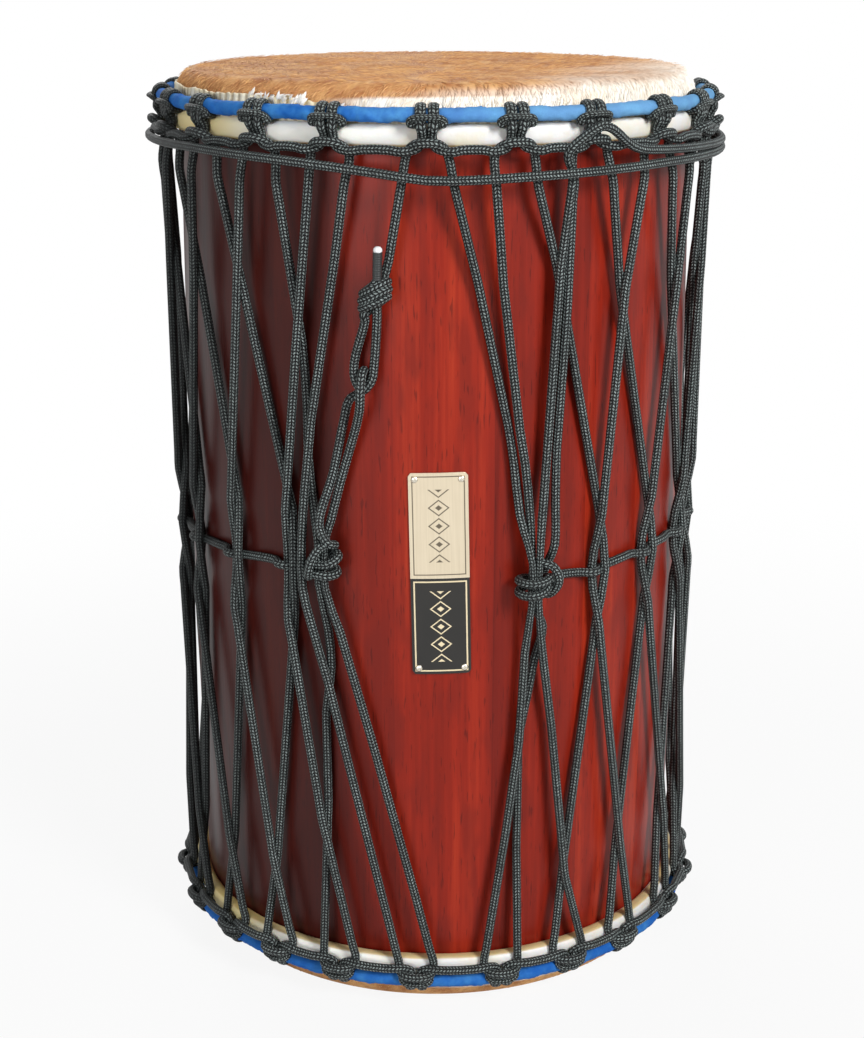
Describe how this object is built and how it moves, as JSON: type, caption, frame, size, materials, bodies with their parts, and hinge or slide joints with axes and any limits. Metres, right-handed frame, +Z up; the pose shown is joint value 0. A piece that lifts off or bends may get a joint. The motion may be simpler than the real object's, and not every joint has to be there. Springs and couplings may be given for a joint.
{
  "type": "sangban drum",
  "caption": "Two-headed cylinder drum: bellied wooden shell, hide heads on cloth-wrapped rings, braided rope lacing with waist turn and knots, bare plate on the front.",
  "frame": {"origin": "centre of the underside of the lower hide, on the floor that the drum stands on", "axes": "+Z up along the drum's axis; the plate is on the -Y side; +X is to the right seen from the front"},
  "size_m": [0.3806, 0.382, 0.588],
  "materials": {
    "stained_wood": "red-brown stain under satin lacquer",
    "hide": "hair-on cowhide, tan on top and paler down the side",
    "hoop_steel": "plain rod",
    "ring_cloth": "blue cotton strip",
    "rope": "black braid with grey-white flecks",
    "plate_metal": "brushed upper field, black lower field",
    "nail_metal": "polished round head"
  },
  "bodies": {
    "root": {"shell": "stained_wood", "top_head": "hide", "top_flesh_hoop": "hoop_steel", "top_pull_ring": "hoop_steel", "top_ring_cloth": "ring_cloth", "top_cradle_rope": "rope", "bottom_head": "hide", "bottom_flesh_hoop": "hoop_steel", "bottom_pull_ring": "hoop_steel", "bottom_ring_cloth": "ring_cloth", "bottom_cradle_rope": "rope", "lacing_rope": "rope", "collar_rope": "rope", "badge_plate": "plate_metal", "badge_nail_1": "nail_metal", "badge_nail_2": "nail_metal", "badge_nail_3": "nail_metal", "badge_nail_4": "nail_metal"}
  },
  "joints": []
}
